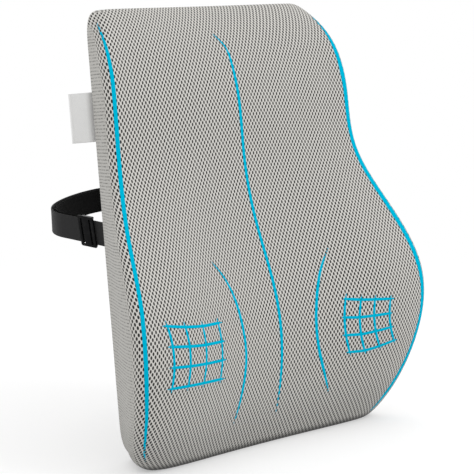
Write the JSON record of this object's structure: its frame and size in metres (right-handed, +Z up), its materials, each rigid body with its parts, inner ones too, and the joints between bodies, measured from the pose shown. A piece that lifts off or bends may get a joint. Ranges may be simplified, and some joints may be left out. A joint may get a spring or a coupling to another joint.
{
  "type": "lumbar support cushion",
  "caption": "Contoured office-chair back cushion: memory foam in a zipped grey mesh cover, with a black side-release strap, an adjuster, a side label and raised blue contour lines.",
  "frame": {"origin": "middle of the flat base, on the floor plane", "axes": "+Z up, +Y from the cushion's front towards the chair back it straps to, +X to the right of someone facing the cushion's front"},
  "size_m": [0.4248, 0.263, 0.4487],
  "materials": {
    "foam": "open-cell memory foam",
    "liner": "thin knitted liner",
    "mesh_front": "warm grey 3-D spacer mesh with round holes",
    "mesh_back": "grey spacer mesh",
    "zip_tape": "woven zipper tape",
    "zip_teeth": "moulded coil teeth",
    "zip_metal": "dark nickel",
    "webbing": "black woven webbing",
    "hardware": "black moulded acetal",
    "label": "pale woven label",
    "contour_film": "cyan heat-transfer film"
  },
  "bodies": {
    "cushion": {"foam_core": "foam", "inner_liner_front": "liner", "inner_liner_back": "liner", "cover_front": "mesh_front", "back_panel_lower": "mesh_back", "back_panel_upper": "mesh_back", "zipper_tape_lower": "zip_tape", "zipper_tape_upper": "zip_tape", "zipper_teeth_lower": "zip_teeth", "zipper_teeth_upper": "zip_teeth", "zipper_stop_closed_end": "zip_metal", "zipper_stop_open_end": "zip_metal", "strap_left": "webbing", "buckle_socket": "hardware", "label_tag": "label", "contour_line_edge_left": "contour_film", "contour_line_edge_right": "contour_film", "contour_line_spine": "contour_film", "contour_line_waist_left": "contour_film", "contour_line_waist_right": "contour_film", "contour_grid_left": "contour_film", "contour_grid_right": "contour_film"},
    "zipper_slider_body": {"zipper_slider": "zip_metal"},
    "zipper_pull_body": {"zipper_pull_tab": "zip_metal"},
    "adjuster_body": {"strap_adjuster": "hardware"},
    "buckle_plug_body": {"buckle_plug": "hardware", "strap_right": "webbing"}
  },
  "joints": [
    {"name": "zipper_slide", "type": "slide", "parent": "cushion", "child": "zipper_slider_body", "axis": [1, 0, 0], "range_m": [0, 0.235]},
    {"name": "pull_tab_hinge", "type": "hinge", "parent": "zipper_slider_body", "child": "zipper_pull_body", "pos_m": [-0.121, 0.03994, 0.06913], "axis": [0, 0.1045, 0.9945], "range_deg": [0, 170]},
    {"name": "adjuster_slide", "type": "slide", "parent": "cushion", "child": "adjuster_body", "axis": [-0.225, 0.969, 0.1018], "range_m": [-0.01, 0.012]},
    {"name": "buckle_release", "type": "slide", "parent": "cushion", "child": "buckle_plug_body", "axis": [1, 0, 0], "range_m": [0, 0.024]}
  ]
}
